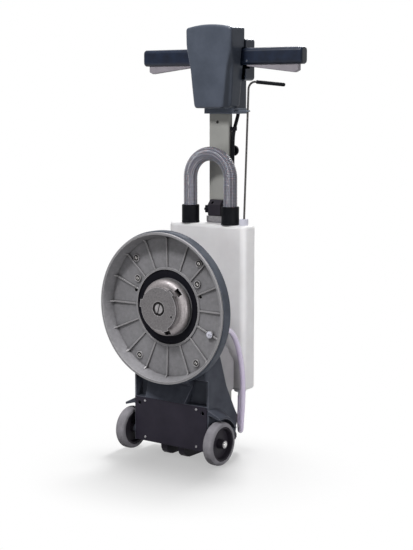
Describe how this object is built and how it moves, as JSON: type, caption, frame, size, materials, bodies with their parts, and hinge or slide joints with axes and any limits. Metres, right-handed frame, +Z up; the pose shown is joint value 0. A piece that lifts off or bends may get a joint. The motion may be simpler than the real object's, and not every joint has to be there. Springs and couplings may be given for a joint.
{
  "type": "single-disc floor machine",
  "caption": "Upright single-disc floor machine on wheels with folded-up deck, bayonet brush drive, water tank, arched hose, folding handle column and twin trigger grips.",
  "frame": {"origin": "bottom centre of the machine's bounding box, on the floor", "axes": "+X to the machine's right seen from the disc, +Y from the disc to the handle column, +Z up"},
  "size_m": [0.532, 0.3426, 1.166],
  "materials": {
    "cast_alloy": "satin",
    "machined_steel": "satin",
    "bright_steel": "gloss",
    "bumper_rubber": "matte",
    "black_rubber": "matte",
    "tyre_grey": "matte",
    "black_plastic": "matte",
    "charcoal_plastic": "matte",
    "head_plastic": "matte",
    "cover_grey": "matte",
    "lever_grey": "matte",
    "tank_white": "satin",
    "hose_grey": "satin",
    "clear_tube": "gloss",
    "pale_plastic": "satin",
    "column_paint": "satin",
    "black_paint": "satin",
    "rod_steel": "satin",
    "motor_paint": "matte"
  },
  "bodies": {
    "deck": {"deck_casting": "cast_alloy", "bumper_ring": "bumper_rubber", "splash_ring": "black_plastic", "bearing_carrier": "cast_alloy", "hub_bearings": "bright_steel", "deck_cover": "cover_grey", "deck_screws": "machined_steel", "water_nozzle": "pale_plastic", "chassis": "charcoal_plastic", "access_plate": "black_plastic", "plate_screws": "bright_steel", "motor_cover": "cover_grey", "motor_plate": "machined_steel", "motor_stator": "motor_paint", "drive_belt": "black_rubber", "axle": "bright_steel", "axle_clips": "machined_steel", "stand_feet": "black_paint", "pivot_pin": "machined_steel", "feed_hose": "clear_tube"},
    "drive": {"drive_plate": "machined_steel", "drive_hub": "machined_steel", "drive_screw": "bright_steel", "drive_shaft": "machined_steel", "drive_pulley": "cast_alloy"},
    "rotor": {"motor_rotor": "machined_steel", "motor_pulley": "cast_alloy"},
    "left_wheel": {"left_tyre": "tyre_grey", "left_wheel_hub": "black_plastic"},
    "right_wheel": {"right_tyre": "tyre_grey", "right_wheel_hub": "black_plastic"},
    "handle": {"column_knuckle": "black_paint", "column": "column_paint", "tank_shelf": "black_paint", "water_tank": "tank_white", "outlet_fitting": "pale_plastic", "valve_cap": "pale_plastic", "hose_cuffs": "black_rubber", "u_hose": "hose_grey", "tank_clamp": "black_plastic", "clamp_bar": "machined_steel", "head_front_cover": "head_plastic", "head_rear_cover": "head_plastic", "head_collar": "black_plastic", "handlebar": "machined_steel", "left_grip": "black_rubber", "right_grip": "black_rubber", "lever_pins": "machined_steel", "switch_block": "black_plastic", "motor_lead": "black_rubber", "cable_clips": "black_plastic", "cable_cleat": "black_plastic", "cable_gland": "black_plastic", "rod_guide": "black_plastic"},
    "knob": {"clamp_knob": "black_plastic"},
    "left_trigger": {"left_lever": "lever_grey"},
    "right_trigger": {"right_lever": "lever_grey"},
    "rod": {"water_rod": "rod_steel", "rod_grip": "black_rubber"},
    "button": {"safety_button": "black_plastic"}
  },
  "joints": [
    {"name": "drive_spin", "type": "hinge", "parent": "deck", "child": "drive", "pos_m": [0, -0.09675, 0.4155], "axis": [0, 1, 0], "continuous": true},
    {"name": "rotor_spin", "type": "hinge", "parent": "deck", "child": "rotor", "pos_m": [0, -0.09675, 0.235], "axis": [0, 1, 0], "continuous": true},
    {"name": "left_wheel_spin", "type": "hinge", "parent": "deck", "child": "left_wheel", "pos_m": [-0.14865, -0.10325, 0.0585], "axis": [1, 0, 0], "continuous": true},
    {"name": "right_wheel_spin", "type": "hinge", "parent": "deck", "child": "right_wheel", "pos_m": [0.14865, -0.10325, 0.0585], "axis": [1, 0, 0], "continuous": true},
    {"name": "handle_fold", "type": "hinge", "parent": "deck", "child": "handle", "pos_m": [0, 0.11325, 0.06], "axis": [-1, 0, 0], "range_deg": [0, 130], "deforming": ["feed_hose"]},
    {"name": "knob_turn", "type": "hinge", "parent": "handle", "child": "knob", "pos_m": [-0.029, 0.09225, 0.6615], "axis": [1, 0, 0], "continuous": true},
    {"name": "left_trigger_pull", "type": "hinge", "parent": "handle", "child": "left_trigger", "pos_m": [-0.092, 0.11925, 1.068], "axis": [0, 1, 0], "range_deg": [0, 5.5], "stiffness_Nm_per_rad": 3, "springref_deg": -5.73},
    {"name": "right_trigger_pull", "type": "hinge", "parent": "handle", "child": "right_trigger", "pos_m": [0.092, 0.11925, 1.068], "axis": [0, -1, 0], "range_deg": [0, 5.5], "stiffness_Nm_per_rad": 3, "springref_deg": -5.73},
    {"name": "rod_lift", "type": "slide", "parent": "handle", "child": "rod", "axis": [0.0024, 0.0488, 0.9988], "range_m": [0, 0.015], "stiffness_N_per_m": 300, "springref_m": -0.01},
    {"name": "button_press", "type": "slide", "parent": "handle", "child": "button", "axis": [0, -1, 0], "range_m": [0, 0.004], "stiffness_N_per_m": 500, "springref_m": -0.002}
  ],
  "couplings": [
    {"joint": "rotor_spin", "follows": "drive_spin", "ratio": 4.4}
  ]
}
